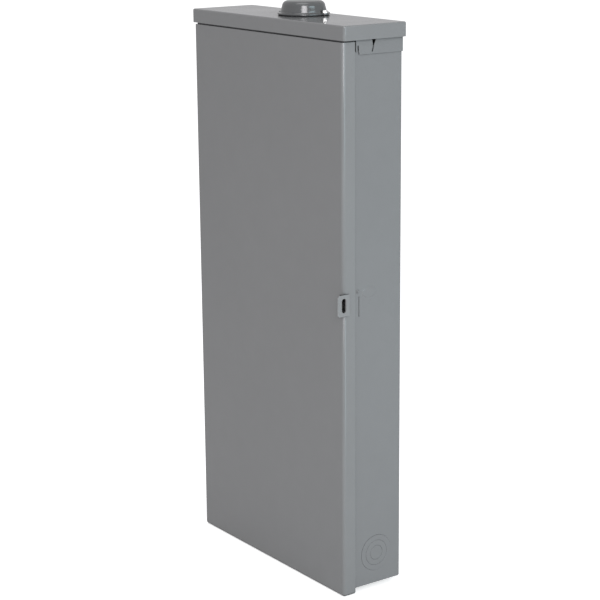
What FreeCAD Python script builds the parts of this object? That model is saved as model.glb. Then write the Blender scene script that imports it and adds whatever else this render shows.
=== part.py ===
import FreeCAD, Part
import math
import os
import re
import Sketcher

# Outdoor subpanel enclosure with its door, rain cap, bus, breakers and bars. Millimetres.
# +Z is up, X runs across the front (positive to the right seen from the front), +Y points to
# the wall. The origin is the centre of the four wall holes, on the plane of the wall.

Vector = FreeCAD.Vector
doc = FreeCAD.newDocument("subpanel_enclosure")
sheet = doc.addObject("Spreadsheet::Sheet", "dims")

# ---------------------------------------------------------------- driving dimensions
CELLS = [
    # door
    ("door_w", 376, "door width over its side flanges"),
    ("door_t", 1.2, "door sheet thickness"),
    ("door_y", -112, "door front face"),
    ("door_lo", -420, "door lower edge"),
    ("door_hi", 390.5, "door upper edge"),
    ("door_fl", 21.5, "depth of the door's side flanges"),
    ("door_bend", 4.8, "outer bend radius of the door"),
    ("door_lip", 4, "depth of the door's top lip"),
    # box
    ("box_w", 372, "box width"),
    ("box_t", 1.5, "box sheet thickness"),
    ("box_y", -106, "front face of the box return flanges"),
    ("back_y", -5, "outer face of the back, clear of the wall"),
    ("box_lo", -411, "box lower edge"),
    ("box_hi", 410, "upper edge of the box sides"),
    ("box_ret", 18, "width of the front return flanges"),
    ("box_bend", 4.5, "outer bend radius at the rear corners"),
    # wall feet and holes
    ("hole_sx", 254, "wall hole spacing across"),
    ("hole_sz", 660.4, "wall hole spacing up"),
    ("hole_rad", 3.6, "wall hole radius"),
    ("foot_rad", 11, "radius of a foot's face"),
    ("foot_root", 16, "radius of a foot at the back sheet"),
    # top end wall
    ("tier_w", 375, "width over the top end wall's flanges"),
    ("tier_t", 1.4, "top end wall sheet"),
    ("tier_y", -107.6, "front of the top end wall"),
    ("tier_back", -3.5, "rear of the top end wall"),
    ("tier_lo", 372.5, "lower edge of its flanges"),
    ("tier_hi", 412.1, "its top face"),
    # rain cap
    ("cap_w", 385, "rain cap width"),
    ("cap_t", 1.2, "rain cap sheet"),
    ("cap_y", -112.6, "rain cap front face"),
    ("cap_back", -2.1, "rain cap rear face"),
    ("cap_lo", 393, "lower edge of the rain cap skirt"),
    ("cap_hi", 413.5, "rain cap top"),
    ("cap_bend", 4, "rain cap corner radius"),
    # hub closing plate
    ("hub_x", 10, "hub centre across"),
    ("hub_y", -48.5, "hub centre from the wall"),
    ("hub_hole", 30, "hub opening radius"),
    ("hub_flange", 38.2, "hub plate flange radius"),
    ("hub_dome", 33.6, "hub plate dome radius at its root"),
    ("hub_top", 30.4, "hub plate dome radius at its shoulder"),
    ("hub_tall", 21.5, "height of the dome above the cap"),
    ("hub_screw", 37.5, "hub screw circle radius"),
    # knockouts
    ("ko_y", -50.5, "side knockout centre from the wall"),
    ("ko_z", -364, "side knockout centre height"),
    ("ko_big", 27.6, "outer ring radius"),
    ("ko_mid", 19.3, "middle ring radius"),
    ("ko_small", 11.1, "centre disc radius"),
    ("ko_gap", 0.22, "sheared gap round a knockout"),
    # hasp
    ("hasp_z", 22.5, "centre height of the padlock hasp"),
    ("hasp_h", 31, "hasp height"),
    ("hasp_t", 2, "hasp thickness"),
    ("hasp_out", 10.5, "hasp stand-out in front of the door"),
    ("lock_w", 8, "padlock hole width"),
    ("lock_l", 21, "padlock hole length"),
    # hinges
    ("hinge_x", -191.6, "hinge axis across"),
    ("hinge_y", -89.6, "hinge axis from the wall"),
    ("hinge_dz", 270, "height of each hinge above and below the middle"),
    ("hinge_len", 60, "hinge length"),
    ("knuckle_rad", 3.2, "knuckle radius"),
    ("pin_rad", 1.6, "hinge pin radius"),
    ("leaf_t", 1.5, "hinge leaf thickness"),
    # dead front
    ("trim_t", 1.2, "dead front sheet"),
    ("trim_y", -107.3, "front face of the dead front's lip"),
    ("trim_floor", -84, "front face of the dead front's floor"),
    ("trim_half", 178, "half width of the lip"),
    ("trim_in", 166, "half width of the tray"),
    ("trim_lo", -404, "lower edge of the lip"),
    ("trim_hi", 368, "upper edge of the lip"),
    # interior
    ("pitch", 25.4, "breaker pitch"),
    ("first_z", 130.3, "height of the first breaker place"),
    ("nose_x", 66, "breaker nose centre from the middle"),
    ("nose_half", 17, "breaker nose half length"),
    ("nose_y", -88, "breaker nose face"),
    ("drum_y", -80.5, "breaker handle axis"),
    ("drum_rad", 9, "breaker handle drum radius"),
    ("bar_y", -34, "front face of the line bus bars"),
]
for row, (alias, value, note) in enumerate(CELLS, start=1):
    sheet.set(f"A{row}", note)
    sheet.set(f"B{row}", str(value))
    sheet.setAlias(f"B{row}", alias)
doc.recompute()
SIZE = {alias: float(getattr(sheet, alias)) for alias, _, _ in CELLS}
ALIAS = re.compile(r"\b(" + "|".join(SIZE) + r")\b")

# ---------------------------------------------------------------- shared places
SIDES = (-1, 1)  # left, right
# screws as (x, z)
TRIM_SCREWS = [(side * 173, z) for side in SIDES for z in (-385, -18, 350)]
PAN_SCREWS = [(side * 72, z) for side in SIDES for z in (-284, 302)]
NEUTRAL_X = 134
STANDOFFS = [(side * NEUTRAL_X, z) for side in SIDES for z in (-240, 90)]
GROUND_Z = -330
GROUND_MOUNTS = [(-46, GROUND_Z), (46, GROUND_Z)]
BOND_SCREW = (82, -318)

RIVET_Y = -84.3
RIVET_Z = "hasp_z + 16.3"
RIVET_HOLE = 1.65
FLOOR_KO_X = (-110, 0, 110)
FLOOR_KO_Y = -54
FLOOR_SLUG_RAD = 17.6
HUB_ANGLE = 18.0  # of the line through the two hub screws, from X
CASE_FRONT = -80  # front of the breaker cases, behind their noses
CASE_REAR = -38.5
PLACES = 15  # breaker places in each column
MAIN_LUG_X = (-27, 27)
# label, side, first place, poles
BREAKERS = [
    ("range_breaker", -1, 0, 2),
    ("heater_breaker", 1, 0, 2),
    ("pump_breaker", -1, 2, 2),
    ("branch_breaker_a", 1, 2, 1),
    ("branch_breaker_b", 1, 3, 1),
    ("branch_breaker_c", -1, 4, 1),
    ("branch_breaker_d", 1, 4, 1),
]

# ---------------------------------------------------------------- expressions and sub-parts
SUBPARTS = []


def bind(obj, prop, expression):
    """Binds a property to a number or to an expression in aliases."""
    obj.setExpression(prop, ALIAS.sub(r"dims.\1", str(expression)))


def span(centre, half):
    """Interval of the given half length about a centre."""
    return f"({centre}) - ({half})", f"({centre}) + ({half})"


def sided(side, inner, outer):
    """X interval between two distances from the middle, on the left (-1) or right (1)."""
    return (inner, outer) if side > 0 else (f"-({outer})", f"-({inner})")


def place_z(n):
    """Centre height of breaker place n, counted down from the top."""
    return f"first_z - {n} * pitch"


def publish(obj):
    """Marks an object, named by its label, as one sub-part."""
    SUBPARTS.append(obj)


def group(label, shapes):
    """Publishes several separate solids as one sub-part."""
    compound = doc.addObject("Part::Compound", label)
    compound.Links = shapes
    publish(compound)


# ---------------------------------------------------------------- primitives
UPRIGHT = FreeCAD.Rotation()
TURN = {
    "z": UPRIGHT,
    "x": FreeCAD.Rotation(Vector(0, 1, 0), 90),
    "-x": FreeCAD.Rotation(Vector(0, 1, 0), -90),
    "y": FreeCAD.Rotation(Vector(1, 0, 0), -90),
    "-y": FreeCAD.Rotation(Vector(1, 0, 0), 90),
}


def put(obj, rotation, x, y, z):
    obj.Placement = FreeCAD.Placement(Vector(0, 0, 0), rotation)
    for axis, value in zip("xyz", (x, y, z)):
        bind(obj, "Placement.Base." + axis, value)
    return obj


def block(name, x_span, y_span, z_span):
    box = doc.addObject("Part::Box", name)
    for prop, (low, high) in zip(("Length", "Width", "Height"), (x_span, y_span, z_span)):
        bind(box, prop, f"({high}) - ({low})")
    return put(box, UPRIGHT, x_span[0], y_span[0], z_span[0])


def cylinder(name, radius, length, axis, x, y, z):
    """Cylinder that starts at x, y, z and runs along an axis."""
    rod = doc.addObject("Part::Cylinder", name)
    bind(rod, "Radius", radius)
    bind(rod, "Height", length)
    return put(rod, TURN[axis], x, y, z)


def cone(name, start_rad, end_rad, length, axis, x, y, z):
    frustum = doc.addObject("Part::Cone", name)
    bind(frustum, "Radius1", start_rad)
    bind(frustum, "Radius2", end_rad)
    bind(frustum, "Height", length)
    return put(frustum, TURN[axis], x, y, z)


def hexagon(name, across_flats, length, axis, x, y, z):
    prism = doc.addObject("Part::Prism", name)
    prism.Polygon = 6
    bind(prism, "Circumradius", f"{across_flats} / 1.7320508")  # square root of 3
    bind(prism, "Height", length)
    return put(prism, TURN[axis], x, y, z)


def paddle(name, reach, root, tip):
    """Wedge along its own Y over reach; root and tip are its half sizes in X and Z."""
    wedge = doc.addObject("Part::Wedge", name)
    wedge.Xmin, wedge.Xmax = -root[0], root[0]
    wedge.Ymin, wedge.Ymax = reach
    wedge.Zmin, wedge.Zmax = -root[1], root[1]
    wedge.X2min, wedge.X2max = -tip[0], tip[0]
    wedge.Z2min, wedge.Z2max = -tip[1], tip[1]
    return wedge


def feature(name, shape):
    obj = doc.addObject("Part::Feature", name)
    obj.Shape = shape
    return obj


def oval(name, x, height, root, top):
    """Low oval frustum beside the catch, standing on plane x; root and top are Y, Z radii."""
    # turns the ellipse's plane to YZ with its long axis along Y
    to_side = FreeCAD.Rotation(Vector(0, 1, 0), Vector(0, 0, 1), Vector(1, 0, 0), "XYZ")
    wires = []
    for plane, (long_rad, short_rad) in ((x, root), (x + height, top)):
        wire = Part.Wire([Part.Ellipse(Vector(0, 0, 0), long_rad, short_rad).toShape()])
        centre = Vector(plane, -64.3, SIZE["hasp_z"] + 12.7)
        wire.Placement = FreeCAD.Placement(centre, to_side)
        wires.append(wire)
    return feature(name, Part.makeLoft(wires, True))


# ---------------------------------------------------------------- booleans and fillets
def fuse(name, shapes, refine=True):
    union = doc.addObject("Part::MultiFuse", name)
    union.Shapes = shapes
    union.Refine = refine
    return union


def cut(name, base, tools):
    difference = doc.addObject("Part::Cut", name)
    difference.Base = base
    difference.Tool = tools[0] if len(tools) == 1 else fuse(name + "_tools", tools, refine=False)
    difference.Refine = True
    return difference


def near(a, b):
    return abs(a - b) < 1e-3


def edge(run=None, **at):
    """Edge test: it runs along the axis, if given, and has both ends at the coordinates."""
    def test(start, end):
        if run and not all(near(getattr(start, axis), getattr(end, axis)) != (axis == run)
                           for axis in "xyz"):
            return False
        return all(near(getattr(point, axis), value)
                   for point in (start, end) for axis, value in at.items())
    return test


def any_of(*tests):
    return lambda start, end: any(test(start, end) for test in tests)


def edges_where(shape, test):
    """Numbers of the edges whose two ends pass the test."""
    return [number for number, item in enumerate(shape.Edges, start=1)
            if test(item.Vertexes[0].Point, item.Vertexes[-1].Point)]


def fillet(name, base, rounds):
    """Rounds edges; each entry of rounds is a radius and an edge test."""
    doc.recompute()
    rounded = doc.addObject("Part::Fillet", name)
    rounded.Base = base
    rounded.Edges = [(number, radius, radius) for radius, test in rounds
                     for number in edges_where(base.Shape, test)]
    doc.recompute()
    return rounded


# ---------------------------------------------------------------- sketches and bodies
def sketch_on(body, name, role, offset):
    sketch = body.newObject("Sketcher::SketchObject", name)
    plane = [item for item in body.Origin.OriginFeatures if item.Role == role][0]
    sketch.AttachmentSupport = [(plane, "")]
    sketch.MapMode = "FlatFace"
    bind(sketch, "AttachmentOffset.Base.z", offset)
    return sketch


def constrain(sketch, kind, *references):
    sketch.addConstraint(Sketcher.Constraint(kind, *references))


def drive(sketch, expression, kind, *references):
    """Adds a dimension whose last reference is a starting value, and binds it."""
    index = sketch.addConstraint(Sketcher.Constraint(kind, *references))
    bind(sketch, f"Constraints[{index}]", expression)


def rectangle(sketch, x_span, y_span):
    corners = [Vector(0, 0, 0), Vector(10, 0, 0), Vector(10, 10, 0), Vector(0, 10, 0)]
    for i in range(4):
        sketch.addGeometry(Part.LineSegment(corners[i], corners[(i + 1) % 4]), False)
    for i in range(4):
        constrain(sketch, "Coincident", i, 2, (i + 1) % 4, 1)
    for i in (0, 2):
        constrain(sketch, "Horizontal", i)
        constrain(sketch, "Vertical", i + 1)
    drive(sketch, f"({x_span[1]}) - ({x_span[0]})", "DistanceX", 0, 1, 0, 2, 10.0)
    drive(sketch, f"({y_span[1]}) - ({y_span[0]})", "DistanceY", 1, 1, 1, 2, 10.0)
    drive(sketch, x_span[0], "DistanceX", -1, 1, 0, 1, 5.0)
    drive(sketch, y_span[0], "DistanceY", -1, 1, 0, 1, 5.0)


def pan(label, x_span, y_span, z_span, open_to, thick, rounds):
    """Sheet-metal pan: a padded block with rounded bends, hollowed from the open_to side."""
    body = doc.addObject("PartDesign::Body", label + "_body")
    sketch = sketch_on(body, label + "_sketch", "XY_Plane", z_span[0])
    rectangle(sketch, x_span, y_span)
    solid = body.newObject("PartDesign::Pad", label + "_pad")
    solid.Profile = sketch
    bind(solid, "Length", f"({z_span[1]}) - ({z_span[0]})")
    doc.recompute()
    for radius, test in rounds:
        bend = body.newObject("PartDesign::Fillet", label + "_bend")
        bend.Base = (solid, [f"Edge{number}" for number in edges_where(solid.Shape, test)])
        bind(bend, "Radius", radius)
        doc.recompute()
        solid = bend
    open_face = [f"Face{number}" for number, face in enumerate(solid.Shape.Faces, start=1)
                 if face.Surface.TypeId == "Part::GeomPlane"
                 and face.normalAt(0.5, 0.5).dot(Vector(*open_to)) > 0.9][-1]
    hollow = body.newObject("PartDesign::Thickness", label + "_sheet")
    hollow.Base = (solid, [open_face])
    bind(hollow, "Value", thick)
    hollow.Mode = 0
    hollow.Join = 0
    hollow.Reversed = True
    doc.recompute()
    # the sheet has to grow inwards; if it did not, the direction is turned over
    if hollow.Shape.Volume >= solid.Shape.Volume:
        hollow.Reversed = False
        doc.recompute()
    body.Tip = hollow
    doc.recompute()
    return body


# ---------------------------------------------------------------- front-driven screws
def screw(name, x, y, z, head, shank, recess):
    """Screw whose head stands at y towards the door; head and shank are radius and length."""
    head_rad, head_tall = head
    shank_rad, shank_len = shank
    overlap = 0.2
    blank = fuse(name + "_blank", [
        cylinder(name + "_head", head_rad, head_tall, "-y", x, y, z),
        cylinder(name + "_shank", shank_rad, shank_len + overlap, "y",
                 x, f"({y}) - {overlap}", z),
    ])
    front = f"({y}) - {head_tall}"
    if recess == "cross":
        depth = (f"{front} - 1", f"{front} + {head_tall * 0.5}")
        arm = head_rad * 0.6
        tools = [block(name + "_cross", span(x, arm), depth, span(z, 0.5)),
                 block(name + "_cross", span(x, 0.5), depth, span(z, arm))]
    else:
        depth = (f"{front} - 1", f"{front} + {head_tall * 0.45}")
        tools = [block(name + "_slot", span(x, head_rad + 1), depth, span(z, 0.5))]
    return cut(name, blank, tools)


# ================================================================ box
def box_wrap():
    """Back, two sides and front return flanges, open at top and bottom."""
    outer = block("box_outer", span(0, "box_w / 2"), ("box_y", "back_y"), ("box_lo", "box_hi"))
    outer = fillet("box_outer_bends", outer, [
        (SIZE["box_bend"], edge("z", y=SIZE["back_y"])),
        (SIZE["box_bend"], edge("x", y=SIZE["back_y"], z=SIZE["box_lo"])),
        (1.8, edge("z", y=SIZE["box_y"])),
    ])
    beyond = ("box_lo - 20", "box_hi + 20")
    inner = block("box_inner", span(0, "box_w / 2 - box_t"),
                  ("box_y + box_t", "back_y - box_t"), beyond)
    inner = fillet("box_inner_bends", inner, [
        (SIZE["box_bend"] - SIZE["box_t"], edge("z", y=SIZE["back_y"] - SIZE["box_t"])),
    ])
    mouth = block("box_mouth", span(0, "box_w / 2 - box_ret"), ("box_y - 5", "box_y + 10"), beyond)
    return cut("box_wrap", outer, [inner, mouth])


def box_body():
    """The wrap with four feet pressed towards the wall, a side boss and all its openings."""
    wrap = box_wrap()
    foot_sheet = 1.2
    feet, tools = [], []
    for side, level in ((-1, -1), (1, -1), (1, 1), (-1, 1)):
        x, z = f"{side} * hole_sx / 2", f"{level} * hole_sz / 2"
        feet.append(cone("foot", "foot_root", "foot_rad", "-back_y", "y", x, "back_y", z))
        tools.append(cone("foot_inside", f"foot_root - {foot_sheet}", f"foot_rad - {foot_sheet}",
                          "-back_y + 0.1", "y", x, "back_y - box_t - 0.1", z))
        tools.append(cylinder("wall_hole", "hole_rad", 12, "y", x, -10, z))
    for side in SIDES:
        tools.append(cylinder("knockout_hole", "ko_big", 8, "x",
                              f"{side} * box_w / 2 - 4", "ko_y", "ko_z"))
    # right side: slot for the catch tongue, rivet hole above it, hollow behind the oval boss
    tools.append(block("catch_slot", span("box_w / 2", 4), (-83.2, -81.2),
                       ("hasp_z - 20.5", "hasp_z + 8.5")))
    tools.append(cylinder("catch_rivet_hole", RIVET_HOLE, 8, "x",
                          "box_w / 2 - 4", RIVET_Y, RIVET_Z))
    tools.append(oval("catch_boss_inside", SIZE["box_w"] / 2 - SIZE["box_t"] - 0.01, 0.61,
                      (11.8, 7.0), (10.8, 6.0)))
    # slots in the sides behind the relief cuts of the top end wall: y and z intervals
    for side in SIDES:
        for y_span, z_span in (((-60.2, -53.6), (384.5, 392.3)),
                               ((-90.3, -88.5), (377.5, 391.5)),
                               ((-85.2, -83.9), (377.5, 384.4))):
            x_span = sided(side, "box_w / 2 - 4", "box_w / 2 + 1")
            tools.append(block("relief_slot", x_span, y_span, z_span))
    tools.append(block("staple_slot", (178.4, 184.4), ("box_y - 1", "box_y + 3"),
                       span("hasp_z", 12.9)))
    tap_rad = 2.1
    for x, z in TRIM_SCREWS:
        tools.append(cylinder("trim_tap", tap_rad, 8, "y", x, "box_y - 2", z))
    for x, z in PAN_SCREWS + STANDOFFS + GROUND_MOUNTS + [BOND_SCREW]:
        tools.append(cylinder("back_tap", tap_rad, 8, "y", x, "back_y - 5", z))
    boss = oval("catch_boss", SIZE["box_w"] / 2, 0.6, (12.8, 8.0), (11.6, 6.8))
    publish(cut("box_body", fuse("box_feet", [wrap, boss] + feet), tools))


def knockouts(axis, x, y, z):
    """A centre disc and two rings round it, each sheared free by the gap."""
    pieces = [cylinder("knockout_disc", "ko_small - ko_gap", "box_t", axis, x, y, z)]
    for outer, inner in (("ko_mid", "ko_small"), ("ko_big", "ko_mid")):
        disc = cylinder("knockout_blank", f"{outer} - ko_gap", "box_t", axis, x, y, z)
        # the bore runs past both faces of the disc
        bore_x, bore_z = (f"({x}) - 10", z) if axis == "x" else (x, f"({z}) - 10")
        bore = cylinder("knockout_bore", inner, 20, axis, bore_x, y, bore_z)
        pieces.append(cut("knockout_ring", disc, [bore]))
    return pieces


def side_knockouts():
    """Knockouts in both sides, standing a little outside the sheet."""
    group("side_knockouts", knockouts("x", "box_w / 2 - box_t + 0.35", "ko_y", "ko_z")
          + knockouts("x", "-box_w / 2 - 0.35", "ko_y", "ko_z"))


def bottom_end_wall():
    """Shallow pan inside the foot of the box, with three round openings."""
    floor = pan("bottom_end_wall", span(0, "box_w / 2 - box_t - 0.1"),
                ("box_y + box_t + 0.1", "back_y - box_t - 0.1"), ("box_lo + 0.2", "box_lo + 16"),
                (0, 0, 1), "box_t", [
                    (3.2, edge("z")),
                    (2.2, edge(z=SIZE["box_lo"] + 0.2)),
                ])
    tools = [cylinder("floor_hole", "ko_big" if x == 0 else FLOOR_SLUG_RAD, 10, "z",
                      x, FLOOR_KO_Y, "box_lo - 4") for x in FLOOR_KO_X]
    publish(cut("bottom_end_wall", floor, tools))


def bottom_knockouts():
    """Ringed knockout in the middle opening and a plain slug in the other two."""
    z = "box_lo + 0.1"
    pieces = knockouts("z", 0, FLOOR_KO_Y, z)
    for x in FLOOR_KO_X[::2]:
        pieces.append(cylinder("floor_slug", f"{FLOOR_SLUG_RAD} - ko_gap", "box_t", "z",
                               x, FLOOR_KO_Y, z))
    group("bottom_knockouts", pieces)


# ================================================================ top end wall and rain cap
def hub_screw_place(sign):
    """X and Y of a hub screw, on either side of the hub."""
    angle = math.radians(HUB_ANGLE)
    return (f"hub_x + {sign} * {math.cos(angle):.6f} * hub_screw",
            f"hub_y + {sign} * {math.sin(angle):.6f} * hub_screw")


HUB_SCREWS = [hub_screw_place(sign) for sign in SIDES]


def publish_with_hub(label, wall, tools, top):
    """Opens a top wall for the hub and then for its two screws."""
    bore = cylinder("hub_bore", "hub_hole", 12, "z", "hub_x", "hub_y", f"{top} - 6")
    plain = cut(label + "_plain", wall, tools + [bore])
    holes = [cylinder("hub_screw_hole", 2.45, 16, "z", x, y, "cap_hi - 10") for x, y in HUB_SCREWS]
    publish(cut(label, plain, holes))


# outlines of the relief cuts in the side flanges, (y, z)
RELIEF_SLIT = [(-85.7, 385.0), (-83.6, 385.0), (-83.5, 376.8), (-82.5, 375.8),
               (-82.5, 371.0), (-91.0, 371.0), (-91.0, 376.8), (-85.6, 376.8)]
RELIEF_WEDGE = [(-60.9, 394.0), (-53.0, 394.0), (-56.2, 386.5), (-59.2, 375.3),
                (-61.2, 375.3), (-59.2, 386.5)]


def top_end_wall():
    """Inverted pan that wraps the outside of the box below the cap."""
    wall = pan("top_end_wall", span(0, "tier_w / 2"), ("tier_y", "tier_back"),
               ("tier_lo", "tier_hi"), (0, 0, -1), "tier_t", [
                   (5.0, edge("z", y=SIZE["tier_back"])),
                   (2.2, edge("z", y=SIZE["tier_y"])),
                   (2.0, edge(z=SIZE["tier_hi"])),
               ])
    half = SIZE["box_w"] / 2
    tools = []
    for side in SIDES:
        # room for the door flange
        tools.append(block("tier_door_room", sided(side, "box_w / 2 - 0.1", "box_w / 2 + 6"),
                           (-112, "door_y + door_fl + 2.4"), (360, "cap_lo - 0.2")))
        x_low = half - 0.1 if side > 0 else -half - 6
        for outline in (RELIEF_SLIT, RELIEF_WEDGE):
            points = [Vector(x_low, y, z) for y, z in outline]
            face = Part.Face(Part.makePolygon(points + points[:1]))
            tools.append(feature("tier_relief", face.extrude(Vector(6.1, 0, 0))))
    publish_with_hub("top_end_wall", wall, tools, "tier_hi")


def rain_cap():
    cap = pan("rain_cap", span(0, "cap_w / 2"), ("cap_y", "cap_back"), ("cap_lo", "cap_hi"),
              (0, 0, -1), "cap_t", [
                  ("cap_bend", edge("z", y=SIZE["cap_y"])),
                  (5.6, edge("z", y=SIZE["cap_back"])),
                  (2.2, edge(z=SIZE["cap_hi"])),
              ])
    publish_with_hub("rain_cap", cap, [], "cap_hi")


# ================================================================ hub
GASKET_T = 1.5
EAR_HOLE = 2.6  # radius


def hub_gasket():
    """Ring with two ears between the cap and the closing plate."""
    discs = [cylinder("gasket_disc", "hub_flange - 1.4", GASKET_T, "z",
                      "hub_x", "hub_y", "cap_hi")]
    holes = [cylinder("gasket_bore", "hub_hole", 20, "z", "hub_x", "hub_y", "cap_hi - 8")]
    for x, y in HUB_SCREWS:
        discs.append(cylinder("gasket_ear", 5.2, GASKET_T, "z", x, y, "cap_hi"))
        holes.append(cylinder("gasket_hole", EAR_HOLE, 20, "z", x, y, "cap_hi - 8"))
    publish(cut("hub_gasket", fuse("gasket_discs", discs), holes))


def crown_middle(radius, height, top):
    """Point half way out on the spherical crown from the axis at top to radius, height."""
    sphere = (radius ** 2 + (top - height) ** 2) / (2 * (top - height))
    return radius / 2, top - sphere + math.sqrt(sphere ** 2 - radius ** 2 / 4)


def hub_profile():
    """Closed half section as (radius, height): a line's end, or an arc's middle and end.

    The last point is also where the first line starts.
    """
    flange, root, shoulder, tall = (
        SIZE[alias] for alias in ("hub_flange", "hub_dome", "hub_top", "hub_tall"))
    outer_rim = (shoulder - 6.2, tall - 0.75)
    inner_rim = (shoulder - 6.6, tall - 3.1)
    outer_top, inner_top = tall + 0.4, tall - 2.0
    return [
        [(flange, GASKET_T)],
        [(flange, 2.9)],
        [(flange - 0.25, 3.35), (flange - 0.8, 3.6)],
        [(root + 1.9, 3.9)],
        [(root + 0.62, 4.5), (root, 5.9)],
        [(shoulder + 1.05, tall - 8.0)],
        [(shoulder - 1.3, tall - 3.1), outer_rim],
        [crown_middle(*outer_rim, outer_top), (0.0, outer_top)],
        [(0.0, inner_top)],
        [crown_middle(*inner_rim, inner_top), inner_rim],
        [(shoulder - 3.0, tall - 5.2), (shoulder - 1.4, tall - 8.6)],
        [(27.5, 4.2)],
        [(27.5, GASKET_T)],
    ]


def add_arc(sketch, start, middle, end):
    """Adds an arc through three points; returns its number, start vertex and end vertex."""
    turn = ((middle[0] - start[0]) * (end[1] - start[1])
            - (middle[1] - start[1]) * (end[0] - start[0]))
    # sketch arcs run counterclockwise
    first, last = (start, end) if turn > 0 else (end, start)
    circle = Part.Arc(*(Vector(*point, 0) for point in (first, middle, last))).toShape().Curve
    centre = circle.Center
    angle_from = math.atan2(first[1] - centre.y, first[0] - centre.x)
    angle_to = math.atan2(last[1] - centre.y, last[0] - centre.x)
    if angle_to < angle_from:
        angle_to += 2 * math.pi
    full = Part.Circle(Vector(centre.x, centre.y, 0), Vector(0, 0, 1), circle.Radius)
    number = sketch.addGeometry(Part.ArcOfCircle(full, angle_from, angle_to), False)
    if abs(centre.x) < 1e-6:
        # a crown stays centred on the axis
        constrain(sketch, "PointOnObject", number, 3, -2)
    return (number, 1, 2) if turn > 0 else (number, 2, 1)


def hub_dome():
    """Flange and dome turned about the hub's axis."""
    body = doc.addObject("PartDesign::Body", "hub_dome")
    sketch = sketch_on(body, "hub_sketch", "XZ_Plane", 0)
    profile = hub_profile()
    start = profile[-1][-1]
    pieces = []
    for *middle, end in profile:
        if middle:
            pieces.append(add_arc(sketch, start, middle[0], end))
        else:
            line = Part.LineSegment(Vector(*start, 0), Vector(*end, 0))
            pieces.append((sketch.addGeometry(line, False), 1, 2))
        start = end
    for piece, following in zip(pieces, pieces[1:] + pieces[:1]):
        constrain(sketch, "Coincident", piece[0], piece[2], following[0], following[1])
    # flange edge, dome root and top of the dome
    drive(sketch, "hub_flange", "DistanceX", -1, 1, 1, 1, SIZE["hub_flange"])
    drive(sketch, "hub_dome", "DistanceX", -1, 1, 5, 1, SIZE["hub_dome"])
    drive(sketch, "hub_tall + 0.4", "DistanceY", -1, 1, 8, 1, SIZE["hub_tall"] + 0.4)
    turned = body.newObject("PartDesign::Revolution", "hub_turn")
    turned.Profile = sketch
    turned.ReferenceAxis = (sketch, ["V_Axis"])
    turned.Angle = 360
    doc.recompute()
    put(body, UPRIGHT, "hub_x", "hub_y", "cap_hi")
    body.Tip = turned
    doc.recompute()
    return body


def hub_closing_plate():
    """Dome with two ears, and a scallop over each ear so that a driver reaches the screw."""
    dome = hub_dome()
    scallop_rad = 6.0
    ears, holes, scallops = [], [], []
    for x, y in HUB_SCREWS:
        ears.append(cylinder("hub_ear", 6.2, 2.6, "z", x, y, f"cap_hi + {GASKET_T}"))
        holes.append(cylinder("hub_ear_hole", EAR_HOLE, 12, "z", x, y, "cap_hi - 2"))
        scallops.append(cylinder("hub_scallop", scallop_rad, 30, "z", x, y, "cap_hi + 4.1"))
    scalloped = cut("hub_scalloped", fuse("hub_with_ears", [dome] + ears), holes + scallops)
    # a skin behind each scallop keeps the dome closed
    skin_z, skin_tall = "cap_hi + 3.0", "hub_tall - 4.6"
    skins = []
    for x, y in HUB_SCREWS:
        ring = cut("hub_skin_ring", cylinder("hub_skin_blank", 7.8, skin_tall, "z", x, y, skin_z), [
            cylinder("hub_skin_scallop", scallop_rad, 40, "z", x, y, "cap_hi + 4.1"),
            cylinder("hub_skin_hole", EAR_HOLE, 12, "z", x, y, "cap_hi - 2"),
        ])
        limit = cone("hub_skin_limit", "hub_dome - 0.4", "hub_top - 0.9", skin_tall, "z",
                     "hub_x", "hub_y", skin_z)
        skin = doc.addObject("Part::MultiCommon", "hub_skin")
        skin.Shapes = [ring, limit]
        skins.append(skin)
    publish(fuse("hub_closing_plate", [scalloped] + skins))


def hub_screws():
    """Slotted hexagon-head screws with a washer face."""
    screws = []
    for x, y in HUB_SCREWS:
        blank = fuse("hub_screw_blank", [
            cylinder("hub_screw_washer", 4.9, 0.9, "z", x, y, "cap_hi + 4.15"),
            hexagon("hub_screw_hex", 7.6, 3.0, "z", x, y, "cap_hi + 5.0"),
            cylinder("hub_screw_shank", 2.35, 9.0, "z", x, y, "cap_hi - 4.7"),
        ])
        slot = block("hub_screw_slot", span(x, 4), span(y, 0.55), ("cap_hi + 6.9", "cap_hi + 9"))
        screws.append(cut("hub_screw", blank, [slot]))
    group("hub_screws", screws)


# ================================================================ door
def door():
    """Door sheet with flanges to the rear, and a notch at its right edge for the staple."""
    low, front = SIZE["door_lo"], SIZE["door_y"]
    sheet_pan = pan("door", span(0, "door_w / 2"), ("door_y", "door_y + door_fl"),
                    ("door_lo", "door_hi"), (0, 1, 0), "door_t", [
                        ("door_bend", any_of(edge("z", y=front), edge("x", y=front, z=low),
                                             edge("y", z=low))),
                    ])
    # rounds the lower rear corners of the side flanges
    corner = cut("door_corner", block(
        "door_corner_block", span(0, "door_w / 2 + 5"),
        ("door_y + door_fl - 4", "door_y + door_fl + 1"), ("door_lo - 1", "door_lo + 4"),
    ), [cylinder("door_corner_round", 4, "door_w + 20", "x",
                 "-door_w / 2 - 10", "door_y + door_fl - 4", "door_lo + 4")])
    publish(cut("door", sheet_pan, [
        corner,
        # the top flange is only a short lip, so that the door clears the box header
        block("door_top_relief", span(0, "door_w / 2 - door_t"),
              ("door_y + door_lip", "door_y + door_fl + 1"), ("door_hi - 2", "door_hi + 1")),
        block("door_notch", (180.5, "door_w / 2 + 1"), ("door_y - 1", "door_y + 5.3"),
              ("hasp_z - 16.5", "hasp_z + 15")),
    ]))


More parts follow.
